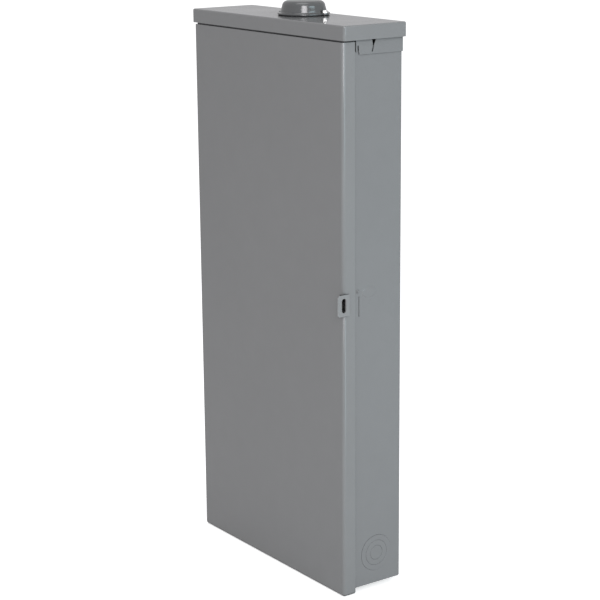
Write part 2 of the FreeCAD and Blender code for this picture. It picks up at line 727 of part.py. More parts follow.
def hasp_outline(body):
    """Sketch of the hasp in the YZ plane, with its two front corners chamfered."""
    sketch = sketch_on(body, "hasp_sketch", "YZ_Plane", "door_w / 2")
    front = SIZE["door_y"] - SIZE["hasp_out"]
    rear = front + 20.5
    chamfer = 2.6
    middle = SIZE["hasp_z"]
    half = SIZE["hasp_h"] / 2
    outline = [
        (front, middle - half + chamfer), (front + chamfer, middle - half),
        (rear, middle - half), (rear, middle + half),
        (front + chamfer, middle + half), (front, middle + half - chamfer),
    ]
    for start, end in zip(outline, outline[1:] + outline[:1]):
        sketch.addGeometry(Part.LineSegment(Vector(*start, 0), Vector(*end, 0)), False)
    for i in range(6):
        constrain(sketch, "Coincident", i, 2, (i + 1) % 6, 1)
    for i in (1, 3):
        constrain(sketch, "Horizontal", i)
    for i in (2, 5):
        constrain(sketch, "Vertical", i)
    drive(sketch, "hasp_h", "DistanceY", 2, 1, 2, 2, SIZE["hasp_h"])
    drive(sketch, "hasp_out - door_y", "DistanceX", 0, 1, -1, 1,
          SIZE["hasp_out"] - SIZE["door_y"])
    return sketch


LOCK_FROM_DOOR = 0.4  # padlock hole axis behind the door's front face


def hasp_slot(body):
    """Sketch of the upright padlock hole."""
    sketch = sketch_on(body, "hasp_slot", "YZ_Plane", "door_w / 2 - 1")
    y = SIZE["door_y"] + LOCK_FROM_DOOR
    radius = SIZE["lock_w"] / 2
    reach = SIZE["lock_l"] / 2 - radius
    high, low = SIZE["hasp_z"] + reach, SIZE["hasp_z"] - reach
    up = Vector(0, 0, 1)
    for piece in (
        Part.ArcOfCircle(Part.Circle(Vector(y, high, 0), up, radius), 0, math.pi),
        Part.LineSegment(Vector(y - radius, high, 0), Vector(y - radius, low, 0)),
        Part.ArcOfCircle(Part.Circle(Vector(y, low, 0), up, radius), math.pi, 2 * math.pi),
        Part.LineSegment(Vector(y + radius, low, 0), Vector(y + radius, high, 0)),
    ):
        sketch.addGeometry(piece, False)
    for i in range(4):
        constrain(sketch, "Tangent", i, 2, (i + 1) % 4, 1)
    return sketch


def door_hasp():
    """Padlock hasp on the outside of the door's right flange."""
    body = doc.addObject("PartDesign::Body", "door_hasp")
    plate = body.newObject("PartDesign::Pad", "hasp_pad")
    plate.Profile = hasp_outline(body)
    bind(plate, "Length", "hasp_t")
    doc.recompute()
    slot = hasp_slot(body)
    hole = body.newObject("PartDesign::Pocket", "hasp_hole")
    hole.Profile = slot
    hole.Length = 8
    hole.Reversed = True
    doc.recompute()
    # the pocket has to meet the plate; if it did not, the direction is turned over
    if hole.Shape.Volume > plate.Shape.Volume - 50:
        hole.Reversed = False
        doc.recompute()

    def outer_corner(start, end):
        return (edge("x")(start, end)
                and (start.y < SIZE["door_y"] + 2 or start.y > SIZE["door_y"] + 10)
                and abs(start.z - SIZE["hasp_z"]) > 10)

    rounded = body.newObject("PartDesign::Fillet", "hasp_round")
    rounded.Base = (hole, [f"Edge{number}" for number in edges_where(hole.Shape, outer_corner)])
    rounded.Radius = 1.5
    doc.recompute()
    body.Tip = rounded
    publish(body)


def box_staple():
    """Plate on the box that reaches forward through the door's notch, holed for a padlock."""
    plate = block("staple_plate", (182.3, 184.3), ("door_y - 6.4", "box_y + 6"),
                  span("hasp_z", 12.8))
    plate = fillet("staple_round", plate, [(5.0, edge("x", y=SIZE["door_y"] - 6.4))])
    axis_y = f"door_y + {LOCK_FROM_DOOR}"
    rise = 6.5
    hole = fuse("staple_hole", [
        block("staple_hole_middle", (176, 190), (f"{axis_y} - lock_w / 2", "box_y + 1.6"),
              span("hasp_z", rise)),
        block("staple_hole_rear", (176, 190), (axis_y, "box_y + 1.6"), span("hasp_z", 10.5)),
        cylinder("staple_hole_end", "lock_w / 2", 14, "x", 176, axis_y, f"hasp_z - {rise}"),
        cylinder("staple_hole_end", "lock_w / 2", 14, "x", 176, axis_y, f"hasp_z + {rise}"),
    ])
    publish(cut("box_staple", plate, [hole]))


def catch_spring():
    """Spring plate behind the right side wall, with a tongue through the wall's slot."""
    blank = fuse("catch_blank", [
        block("catch_plate", (182.9, "box_w / 2 - box_t - 0.1"), (-91, -77.5),
              ("hasp_z - 26", "hasp_z + 24")),
        block("catch_tongue", (184.0, "box_w / 2 + 0.25"), (-82.9, -81.5),
              ("hasp_z - 20.2", "hasp_z + 8.2")),
    ])
    hole = cylinder("catch_hole", RIVET_HOLE, 8, "x", 180, RIVET_Y, RIVET_Z)
    publish(cut("catch_spring", blank, [hole]))


def catch_rivet():
    publish(fuse("catch_rivet", [
        cylinder("rivet_shank", 1.6, 6.2, "x", 181.4, RIVET_Y, RIVET_Z),
        cone("rivet_head", 2.9, 1.9, 1.0, "x", "box_w / 2 + 0.05", RIVET_Y, RIVET_Z),
        cylinder("rivet_tail", 2.4, 1.0, "-x", 182.8, RIVET_Y, RIVET_Z),
    ]))


# ================================================================ hinges: two, on the left
KNUCKLE_LEN = 19.8


def hinge_rod(name, radius, length, z):
    return cylinder(name, radius, length, "z", "hinge_x", "hinge_y", z)


def box_leaf(centre):
    """Leaf on the box side with a knuckle at each end."""
    outside = "-box_w / 2 - 0.02"
    parts = [block("box_leaf_plate", ("-box_w / 2 - leaf_t", outside),
                   ("hinge_y + 0.7", "hinge_y + 26.6"), span(centre, "hinge_len / 2"))]
    for low in (f"{centre} - hinge_len / 2", f"{centre} + hinge_len / 2 - {KNUCKLE_LEN}"):
        parts.append(hinge_rod("box_leaf_knuckle", "knuckle_rad", KNUCKLE_LEN, low))
        parts.append(block("box_leaf_web", ("hinge_x", outside), ("hinge_y + 0.9", "hinge_y + 3.2"),
                           (low, f"{low} + {KNUCKLE_LEN}")))
    bore = hinge_rod("box_leaf_bore", "pin_rad + 0.01", 90, f"{centre} - 45")
    return cut("box_leaf", fuse("box_leaf_blank", parts), [bore])


def door_leaf(centre):
    """Leaf on the door flange with one knuckle in the middle."""
    outside = "-door_w / 2 - 0.02"
    plate_x = ("-door_w / 2 - leaf_t", outside)
    middle = span(centre, KNUCKLE_LEN / 2)
    parts = [
        block("door_leaf_plate", plate_x, ("door_y + 5.2", "hinge_y - 3.8"),
              span(centre, "hinge_len / 2")),
        block("door_leaf_tab", plate_x, ("hinge_y - 4.4", "hinge_y"), middle),
        hinge_rod("door_leaf_knuckle", "knuckle_rad", KNUCKLE_LEN, middle[0]),
        block("door_leaf_web", ("hinge_x", outside), ("hinge_y - 3.2", "hinge_y - 1.0"), middle),
    ]
    bore = hinge_rod("door_leaf_bore", "pin_rad + 0.05", 60, f"{centre} - 25")
    return cut("door_leaf", fuse("door_leaf_blank", parts), [bore])


def hinge_pin(centre):
    return fuse("hinge_pin", [
        hinge_rod("pin_shank", "pin_rad", "hinge_len + 1.2", f"{centre} - hinge_len / 2 - 0.6"),
        hinge_rod("pin_cap", 2.5, 1.0, f"{centre} + hinge_len / 2 + 0.1"),
        hinge_rod("pin_foot", 2.5, 1.0, f"{centre} - hinge_len / 2 - 1.1"),
    ])


def hinges():
    centres = ("-1 * hinge_dz", "1 * hinge_dz")
    group("hinge_box_leaves", [box_leaf(centre) for centre in centres])
    group("hinge_door_leaves", [door_leaf(centre) for centre in centres])
    group("hinge_pins", [hinge_pin(centre) for centre in centres])


def directory_card():
    """Card on the inside of the door."""
    publish(block("directory_card", (-105, 105),
                  ("door_y + door_t + 0.05", "door_y + door_t + 0.45"), (40, 320)))


# ================================================================ dead front
def dead_front_screws():
    group("dead_front_screws", [
        screw("dead_front_screw", x, "trim_y - 0.02", z, (3.9, 2.0), (2.05, 6.0), "cross")
        for x, z in TRIM_SCREWS])


def dead_front():
    """Tray sunk behind a flat lip, with windows for the breakers."""
    tray = pan("dead_front", span(0, "trim_in"), ("trim_y", "trim_floor + trim_t"),
               ("trim_lo + 10", "trim_hi - 10"), (0, -1, 0), "trim_t", [
                   (4.0, edge("y")),
                   (2.4, edge(y=SIZE["trim_floor"] + SIZE["trim_t"])),
               ])
    lip_blank = block("trim_lip_blank", span(0, "trim_half"), ("trim_y", "trim_y + trim_t"),
                      ("trim_lo", "trim_hi"))
    opening = block("trim_opening", span(0, "trim_in - 0.6"), ("trim_y - 3", "trim_y + 6"),
                    ("trim_lo + 10.6", "trim_hi - 10.6"))
    opening = fillet("trim_opening_round", opening, [(3.4, edge("y"))])
    lip = cut("trim_lip", lip_blank, [opening])
    through_floor = ("trim_floor - 4", "trim_floor + 5")
    column = (f"{place_z(PLACES - 1)} - pitch / 2 - 0.4", "first_z + pitch / 2 + 0.4")
    tools = [block("trim_window", span(f"{side} * nose_x", "nose_half + 0.5"),
                   through_floor, column) for side in SIDES]
    tools.append(block("trim_main_window", (-31, 31), through_floor, (203, 279)))
    for x, z in TRIM_SCREWS:
        tools.append(cylinder("trim_clearance", 2.4, 8, "y", x, "trim_y - 3", z))
    publish(cut("dead_front", fuse("trim_blank", [tray, lip]), tools))


# ================================================================ interior pan
def interior_pan():
    """Pan open to the front, on four pressed feet."""
    sheet_t = 1.4
    rear = -12.6
    tray = pan("interior_pan", (-90, 90), (-34, rear), (-300, 318), (0, -1, 0), sheet_t, [
        (5.0, edge("y")),
        (2.4, edge(y=rear)),
    ])
    feet, tools = [], []
    for x, z in PAN_SCREWS:
        feet.append(cone("pan_foot", 12, 8, 6.0, "y", x, -12.7, z))
        tools.append(cone("pan_foot_inside", 11, 7, 6.2, "y", x, -14.1, z))
        tools.append(cylinder("pan_foot_hole", 2.4, 20, "y", x, -18, z))
    publish(cut("interior_pan", fuse("pan_blank", [tray] + feet), tools))


def pan_screws():
    group("pan_screws", [screw("pan_screw", x, -8.1, z, (4.2, 2.2), (2.05, 5.0), "cross")
                         for x, z in PAN_SCREWS])


# ================================================================ bus
def bus_base():
    """Block behind the bars, with a square recess at each place."""
    base = block("bus_block", (-40, 40), (-30.7, -14.1), (-254, 188))
    base = fillet("bus_block_round", base, [(2.5, edge("y"))])
    recesses = [block("bus_recess", (-9, 9), (-31, -24), span(place_z(n), 9))
                for n in range(PLACES)]
    publish(cut("bus_base", base, recesses))


def bus_bars():
    for label, x_span in (("bus_bar_left", (-36, -14)), ("bus_bar_right", (14, 36))):
        bar = block(label + "_blank", x_span, ("bar_y", "bar_y + 3.2"), (-246, 186))
        publish(fillet(label, bar, [(1.5, edge("y"))]))


def bus_stabs():
    """Stabs on the bars and their screws, on the left and right bar in turn."""
    stabs, screws = [], []
    for n in range(PLACES):
        side = -1 if n % 2 == 0 else 1
        z = place_z(n)
        stabs.append(fuse("stab", [
            block("stab_foot", sided(side, -11, 33), ("bar_y - 2.6", "bar_y - 0.03"),
                  span(z, 5.5)),
            block("stab_blade", (-13.5, 13.5), ("bar_y - 18", "bar_y - 1"), span(z, 1.2)),
        ]))
        screws.append(cylinder("bus_screw", 2.8, 1.3, "-y", side * 27, "bar_y - 2.63", z))
    group("bus_stabs", stabs)
    group("bus_screws", screws)


# ================================================================ breakers
def breaker_handle(label, side, pole_heights):
    """A drum and a paddle for each pole; the paddles lean to the middle of the panel."""
    x = f"{side} * nose_x"
    turn = FreeCAD.Rotation(Vector(0, 0, 1), 180 - 25 * side)
    parts = [cylinder("handle_drum", "drum_rad", 9.0, "z", x, "drum_y", f"{z} - 4.5")
             for z in pole_heights]
    for z in pole_heights:
        lever = paddle("handle_lever", (6.0, 19.0), (3.0, 4.4), (2.1, 4.1))
        parts.append(put(lever, turn, x, "drum_y", z))
    if len(pole_heights) > 1:
        # bar that ties the two paddles
        tie = doc.addObject("Part::Box", "handle_tie")
        tie.Length, tie.Width = 3.6, 4.5
        bind(tie, "Height", "pitch + 7")
        offset = turn.multVec(Vector(-1.8, 13.6, 0))
        low = f"({pole_heights[0]} + {pole_heights[1]}) / 2 - (pitch + 7) / 2"
        parts.append(put(tie, turn, f"({x}) + ({offset.x})", f"drum_y + ({offset.y})", low))
    publish(fuse(label + "_handle", parts))


def breaker(label, side, place, poles):
    """Publishes one breaker's case and handle; returns its terminal screws."""
    if poles == 1:
        centre = place_z(place)
        pole_heights = [centre]
    else:
        centre = f"{place_z(place)} - pitch / 2"
        pole_heights = [f"({centre}) - pitch / 2", f"({centre}) + pitch / 2"]
    half = f"{poles} * pitch / 2 - 0.25"
    nose_x = f"{side} * nose_x"
    terminal_x = side * 86.5
    case = block("case_block", sided(side, 8, 92), (CASE_FRONT, CASE_REAR), span(centre, half))
    case = fillet("case_round", case, [(1.2, edge(y=CASE_FRONT))])
    nose = block("case_nose", span(nose_x, "nose_half"), ("nose_y", -79),
                 span(centre, f"{half} - 0.4"))
    leg = block("case_leg", sided(side, 84, 92), (-39, -34.15), span(centre, f"{half} - 2"))
    tools, terminals = [], []
    for z in pole_heights:
        tools += [
            cylinder("case_well", "drum_rad + 0.15", 9.5, "z", nose_x, "drum_y", f"{z} - 4.75"),
            block("case_handle_slot", span(nose_x, 11.5), ("nose_y - 1", "nose_y + 2.6"),
                  span(z, 4.75)),
            block("case_jaw", sided(side, 6, 16), (-54, -36), span(z, 2.4)),
            # wire entry at the outer end and the driver well in front of the terminal screw
            cylinder("case_wire", 4.2, 10, "x", side * 89 - 5, -48, z),
            cylinder("case_driver", 3.9, 30, "y", terminal_x, -81, z),
        ]
    publish(cut(label + "_case", fuse("case_blank", [case, nose, leg]), tools))
    breaker_handle(label, side, pole_heights)
    for z in pole_heights:
        blank = cylinder("terminal_blank", 3.7, 7.5, "y", terminal_x, -59.5, z)
        slot = block("terminal_slot", span(terminal_x, 5), (-60, -58.2), span(z, 0.5))
        terminals.append(cut("terminal_screw", blank, [slot]))
    return terminals


def breakers():
    terminals = []
    for label, side, place, poles in BREAKERS:
        terminals += breaker(label, side, place, poles)
    group("breaker_terminal_screws", terminals)


def filler_plates():
    """Plates in the dead front at the unused places."""
    used = {(side, place + pole) for _, side, place, poles in BREAKERS for pole in range(poles)}
    fillers = []
    for side in SIDES:
        for n in range(PLACES):
            if (side, n) in used:
                continue
            x, z = f"{side} * nose_x", place_z(n)
            fillers.append(fuse("filler", [
                block("filler_lip", span(x, "nose_half + 2.6"),
                      ("trim_floor - 1.4", "trim_floor - 0.05"), span(z, 12.5)),
                block("filler_plug", span(x, "nose_half"),
                      ("trim_floor - 1", "trim_floor + 5"), span(z, 12.2)),
            ]))
    group("filler_plates", fillers)


# ================================================================ main breaker
MAIN_AXIS = (-80.5, 241)  # y, z of the handle's axis


def main_breaker_case():
    case = block("main_block", (-48, 48), (CASE_FRONT, CASE_REAR), (176, 300))
    case = fillet("main_round", case, [(2.0, any_of(edge("y"), edge(y=CASE_FRONT)))])
    nose = block("main_nose", (-30, 30), (-90, -79), (204, 278))
    nose = fillet("main_nose_round", nose, [(1.5, edge("y"))])
    leg = block("main_leg", (-44, 44), (-39, -14.2), (206, 286))
    tools = [
        cylinder("main_well", 12.2, 26.6, "x", -13.3, *MAIN_AXIS),
        block("main_handle_slot", (-13.3, 13.3), (-91, -86.4), (226, 256)),
    ]
    for x in MAIN_LUG_X:
        tools.append(block("main_lug_bay", span(x, 12.5), (-82, -30), (274, 302)))
        tools.append(cylinder("main_strap_driver", 4.5, 60, "y", x, -85, 186))
    publish(cut("main_breaker_case", fuse("main_blank", [case, nose, leg]), tools))


def main_breaker_handle():
    lean = 26.0
    lever = paddle("main_lever", (8.0, 22.5), (12.6, 4.2), (11.8, 3.0))
    turn = FreeCAD.Rotation(Vector(1, 0, 0), 180 - lean)
    lever.Placement = FreeCAD.Placement(Vector(0, *MAIN_AXIS), turn)
    drum = cylinder("main_drum", 12.0, 25.8, "x", -12.9, *MAIN_AXIS)
    publish(fuse("main_breaker_handle", [drum, lever]))


def lug(name, x, half, y_span, z_span, wire_y, wire_z, wire_len):
    """Block with an upright wire bore and a threaded hole in its front face."""
    middle_z = sum(z_span) / 2
    return cut(name, block(name + "_block", span(x, half), y_span, z_span), [
        cylinder("lug_wire", 8.2, wire_len, "z", x, wire_y, wire_z),
        cylinder("lug_tap", 6.05, 14, "y", x, y_span[0] - 2, middle_z),
    ])


def set_screw(x, y, z, length, socket_len):
    """Headless screw with a hexagon socket that is cut from half a millimetre in front."""
    return cut("set_screw", cylinder("set_screw_blank", 6.0, length, "y", x, y, z),
               [hexagon("set_screw_socket", 6.4, socket_len, "y", x, y - 0.5, z)])


def main_lugs():
    group("main_lugs", [lug("main_lug", x, 12, (-66, -38.7), (275, 300), -49, 270, 40)
                        for x in MAIN_LUG_X])


def main_straps():
    """Straps from the main breaker down to the bus bars."""
    group("main_straps", [block("main_strap", span(x, 9), ("bar_y - 3.0", "bar_y - 0.03"),
                                (158, 198)) for x in MAIN_LUG_X])


# ================================================================ neutral
NEUTRAL_Z = [92 - 17 * n for n in range(20)]  # heights of the wire holes
NEUTRAL_LUG_Z = (-280, -250)


def neutral_bars():
    for label, side in (("neutral_bar_left", -1), ("neutral_bar_right", 1)):
        x = side * NEUTRAL_X
        bar = block(label + "_blank", span(x, 6), (-50, -37.9), (-276, 112))
        wires = [cylinder("neutral_wire", 2.9, 20, "x", x - 10, -43, z) for z in NEUTRAL_Z]
        taps = [cylinder("neutral_tap", 2.05, 8, "y", x, -51, z) for z in NEUTRAL_Z]
        publish(cut(label, bar, wires + taps))


def neutral_screws():
    group("neutral_screws", [
        screw("neutral_screw", side * NEUTRAL_X, -50.05, z, (3.5, 1.9), (2.0, 4.0), "slot")
        for side in SIDES for z in NEUTRAL_Z])


def neutral_standoffs():
    standoffs = []
    for x, z in STANDOFFS:
        post = block("standoff_block", span(x, 9), (-37.8, -12), span(z, 11))
        post = fillet("standoff_round", post, [(2.0, edge("y"))])
        foot = cylinder("standoff_foot", 7, 5.6, "y", x, -12.1, z)
        standoffs.append(fuse("standoff", [post, foot]))
    group("neutral_standoffs", standoffs)


def neutral_cross_strap():
    """Strap across the front of both neutral bars."""
    strap = block("cross_strap_blank", (-140, 140), (-53.2, -50.1), (-273, -256))
    publish(fillet("neutral_cross_strap", strap, [(2.0, edge("y"))]))


def neutral_lug():
    publish(lug("neutral_lug", 0, 14, (-80, -53.3), NEUTRAL_LUG_Z, -63.5, -300, 60))


def lug_set_screws():
    screws = [set_screw(x, -69, 287.5, 11, 6) for x in MAIN_LUG_X]
    screws.append(set_screw(0, -81.5, sum(NEUTRAL_LUG_Z) / 2, 9, 5))
    group("lug_set_screws", screws)


# ================================================================ ground
GROUND_X = [-35 + 10 * n for n in range(8)]  # wire holes of the ground bar
GROUND_SCREW_Y = -18.65


def ground_bar():
    bar = block("ground_bar_blank", (-62, 62), (-18.6, -6.6), span(GROUND_Z, 6))
    tools = []
    for x in GROUND_X:
        tools.append(cylinder("ground_wire", 2.6, 20, "z", x, -12.6, GROUND_Z - 10))
        tools.append(cylinder("ground_tap", 1.85, 6, "y", x, -19, GROUND_Z))
    for x, z in GROUND_MOUNTS:
        tools.append(cylinder("ground_mount_hole", 2.4, 20, "y", x, -22, z))
    publish(cut("ground_bar", bar, tools))


def ground_bar_screws():
    """Slotted wire screws and two cross-recessed mounting screws."""
    screws = [screw("ground_screw", x, GROUND_SCREW_Y, GROUND_Z, (3.2, 1.8), (1.8, 2.9), "slot")
              for x in GROUND_X]
    screws += [screw("ground_mount", x, GROUND_SCREW_Y, z, (3.9, 2.2), (2.05, 15.0), "cross")
               for x, z in GROUND_MOUNTS]
    group("ground_bar_screws", screws)


def bonding_strap():
    """Strap bent from the front of the neutral cross strap's level back to the box."""
    x, z = BOND_SCREW
    x_span = span(x, 7)
    blank = fuse("bonding_blank", [
        block("bonding_front", x_span, (-54.9, -53.3), (-304, -258)),
        block("bonding_run", x_span, (-54.9, -6.6), (-305.6, -304)),
        block("bonding_rear", x_span, (-8.2, -6.6), (-328, -304)),
    ])
    publish(cut("bonding_strap", blank, [cylinder("bonding_hole", 2.5, 12, "y", x, -14, z)]))


def bonding_screw():
    x, z = BOND_SCREW
    publish(screw("bonding_screw", x, -8.25, z, (4.6, 2.8), (2.05, 5.0), "slot"))


# ================================================================ build, check and export
for build in (
    box_body, side_knockouts, bottom_end_wall, bottom_knockouts, top_end_wall, rain_cap,
    hub_gasket, hub_closing_plate, hub_screws,
    door, door_hasp, box_staple, catch_spring, catch_rivet, hinges, directory_card,
    dead_front_screws, dead_front, interior_pan, pan_screws, bus_base, bus_bars, bus_stabs,
    breakers, filler_plates, main_breaker_case, main_breaker_handle, main_lugs, main_straps,
    neutral_bars, neutral_screws, neutral_standoffs, neutral_cross_strap, neutral_lug,
    lug_set_screws, ground_bar, ground_bar_screws, bonding_strap, bonding_screw,
):
    build()
doc.recompute()

faults = [f"{obj.Name} ({obj.Label}): {obj.State}" for obj in doc.Objects
          if "Invalid" in obj.State or "Error" in obj.State]
faults += [f"{obj.Label}: shape null or not valid" for obj in SUBPARTS
           if obj.Shape.isNull() or not obj.Shape.isValid()]
if len({obj.Label for obj in SUBPARTS}) != len(SUBPARTS):
    faults.append("labels repeat")
if faults:
    raise SystemExit("not written: " + "; ".join(faults))
os.makedirs("parts", exist_ok=True)
for obj in SUBPARTS:
    obj.Shape.exportStep(os.path.join("parts", obj.Label + ".step"))
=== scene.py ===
"""Looks for the outdoor subpanel enclosure: finishes, printed numbers, card ruling, floor,
lights and camera.

The enclosure stands upright: +Z is up, the front faces -Y and +X is to the right as read
from the front. Blender works in metres; printed marks are laid out in millimetres.
"""

import math

import bmesh
import bpy
from mathutils import Matrix, Vector

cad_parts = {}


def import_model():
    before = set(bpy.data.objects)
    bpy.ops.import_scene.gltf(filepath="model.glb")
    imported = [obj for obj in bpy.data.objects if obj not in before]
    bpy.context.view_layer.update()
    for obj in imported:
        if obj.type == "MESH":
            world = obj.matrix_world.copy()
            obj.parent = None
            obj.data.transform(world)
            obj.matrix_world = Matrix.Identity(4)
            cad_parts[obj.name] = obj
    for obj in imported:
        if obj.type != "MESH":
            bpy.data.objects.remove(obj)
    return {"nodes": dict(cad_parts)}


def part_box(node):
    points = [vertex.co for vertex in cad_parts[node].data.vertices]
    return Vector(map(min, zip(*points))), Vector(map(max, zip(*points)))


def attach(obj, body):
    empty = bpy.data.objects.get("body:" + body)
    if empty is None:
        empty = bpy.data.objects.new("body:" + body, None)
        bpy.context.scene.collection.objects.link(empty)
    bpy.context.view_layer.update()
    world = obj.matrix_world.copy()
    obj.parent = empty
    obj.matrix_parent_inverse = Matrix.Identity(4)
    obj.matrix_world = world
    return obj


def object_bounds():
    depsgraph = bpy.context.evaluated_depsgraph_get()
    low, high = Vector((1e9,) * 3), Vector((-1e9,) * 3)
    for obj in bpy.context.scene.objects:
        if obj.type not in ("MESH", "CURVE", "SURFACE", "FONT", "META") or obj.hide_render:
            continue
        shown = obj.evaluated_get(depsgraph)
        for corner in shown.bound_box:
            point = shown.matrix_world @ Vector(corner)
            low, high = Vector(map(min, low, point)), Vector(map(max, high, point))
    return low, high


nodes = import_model()["nodes"]
CAD_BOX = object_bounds()


# ------------------------------------------------------------------ shader helpers
NOISE_CORE = (0.3, 0.7)  # the range that holds nearly all values of a noise texture


def empty_tree(owner):
    """The node tree of a material or world, cleared."""
    owner.use_nodes = True
    owner.node_tree.nodes.clear()
    return owner.node_tree


def rgb(red, green, blue):
    return (red, green, blue, 1.0)


class Finish:
    """One procedural material, laid out in object space in metres so it stays with its piece.

    Values may be numbers, colours or sockets. Different seeds keep noise layers apart.
    """

    def __init__(self, name):
        self.material = bpy.data.materials.new(name)
        self.tree = empty_tree(self.material)
        output = self.new("ShaderNodeOutputMaterial")
        self.principled = self.new("ShaderNodeBsdfPrincipled")
        self.link(self.principled.outputs[0], output.inputs[0])
        self.position = self.new("ShaderNodeTexCoord").outputs["Object"]
        self.normal = None

    def new(self, kind, **props):
        node = self.tree.nodes.new(kind)
        for key, value in props.items():
            setattr(node, key, value)
        return node

    def link(self, source, target):
        self.tree.links.new(source, target)

    def put(self, value, socket):
        """Links a socket, or sets a plain value."""
        if hasattr(value, "is_linked"):
            self.link(value, socket)
        else:
            socket.default_value = value

    def calc(self, operation, first, second, clamp=False):
        node = self.new("ShaderNodeMath", operation=operation, use_clamp=clamp)
        self.put(first, node.inputs[0])
        self.put(second, node.inputs[1])
        return node.outputs[0]

    def times(self, first, second, clamp=False):
        return self.calc("MULTIPLY", first, second, clamp)

    def plus(self, first, second):
        return self.calc("ADD", first, second)

    def remap(self, value, old, to):
        """Maps the range old onto the range to, clamped."""
        node = self.new("ShaderNodeMapRange", clamp=True)
        self.put(value, node.inputs[0])
        for i, limit in enumerate((*old, *to), start=1):
            node.inputs[i].default_value = limit
        return node.outputs[0]

    def stretched(self, *scale):
        """Object space scaled along x, y and z."""
        node = self.new("ShaderNodeMapping")
        self.link(self.position, node.inputs[0])
        node.inputs["Scale"].default_value = scale
        return node.outputs[0]

    def noise(self, scale, detail, rough, space=None, seed=0.0):
        node = self.new("ShaderNodeTexNoise", noise_dimensions="4D")
        self.link(space or self.position, node.inputs["Vector"])
        node.inputs["W"].default_value = seed
        node.inputs["Scale"].default_value = scale
        node.inputs["Detail"].default_value = detail
        node.inputs["Roughness"].default_value = rough
        return node.outputs["Fac"]

    def mottle(self, scale, detail, rough, to, seed=0.0):
        """Noise whose core fills the range to."""
        return self.remap(self.noise(scale, detail, rough, seed=seed), NOISE_CORE, to)

    def cells(self, scale):
        """A random tone in each Voronoi cell."""
        node = self.new("ShaderNodeTexVoronoi", feature="F1")
        self.link(self.position, node.inputs["Vector"])
        node.inputs["Scale"].default_value = scale
        return node.outputs["Color"]

    def mix(self, share, base, top):
        """Blends two colours; sockets 6, 7 and output 2 are the colour ones."""
        node = self.new("ShaderNodeMix", data_type="RGBA")
        self.put(share, node.inputs[0])
        self.put(base, node.inputs[6])
        self.put(top, node.inputs[7])
        return node.outputs[2]

    def shade(self, colour, factor):
        """Colour times a grey factor."""
        node = self.new("ShaderNodeVectorMath", operation="SCALE")
        self.put(colour[:3] if isinstance(colour, tuple) else colour, node.inputs[0])
        self.put(factor, node.inputs[3])
        return node.outputs[0]

    def bump(self, height, depth):
        """Adds relief of the given depth in metres on top of earlier bumps."""
        node = self.new("ShaderNodeBump")
        node.inputs["Strength"].default_value = 1.0
        node.inputs["Distance"].default_value = depth
        self.link(height, node.inputs["Height"])
        if self.normal is not None:
            self.link(self.normal, node.inputs["Normal"])
        self.normal = node.outputs[0]

    def edges(self, radius):
        """0 on a flat, rising towards 1 at an outside or inside edge."""
        bevel = self.new("ShaderNodeBevel", samples=4)
        bevel.inputs["Radius"].default_value = radius
        geometry = self.new("ShaderNodeNewGeometry")
        dot = self.new("ShaderNodeVectorMath", operation="DOT_PRODUCT")
        self.link(bevel.outputs[0], dot.inputs[0])
        self.link(geometry.outputs["Normal"], dot.inputs[1])
        return self.calc("SUBTRACT", 1.0, dot.outputs["Value"], clamp=True)

    def cavity(self, distance, samples):
        """1 in the open, falling towards 0 in a narrow gap or slot."""
        node = self.new("ShaderNodeAmbientOcclusion", samples=samples)
        node.inputs["Distance"].default_value = distance
        return node.outputs["AO"]

    def done(self, colour, gloss, metallic=0.0, specular=0.5):
        """Connects the surface; gloss is its roughness."""
        inputs = self.principled.inputs
        self.put(colour, inputs["Base Color"])
        self.put(gloss, inputs["Roughness"])
        self.put(metallic, inputs["Metallic"])
        self.put(specular, inputs["Specular IOR Level"])
        if self.normal is not None:
            self.link(self.normal, inputs["Normal"])
        return self.material


# ------------------------------------------------------------------ finishes
BARE_STEEL = rgb(0.36, 0.365, 0.37)
METAL_SPOT = rgb(0.16, 0.15, 0.14)
FOXING = rgb(0.55, 0.46, 0.30)


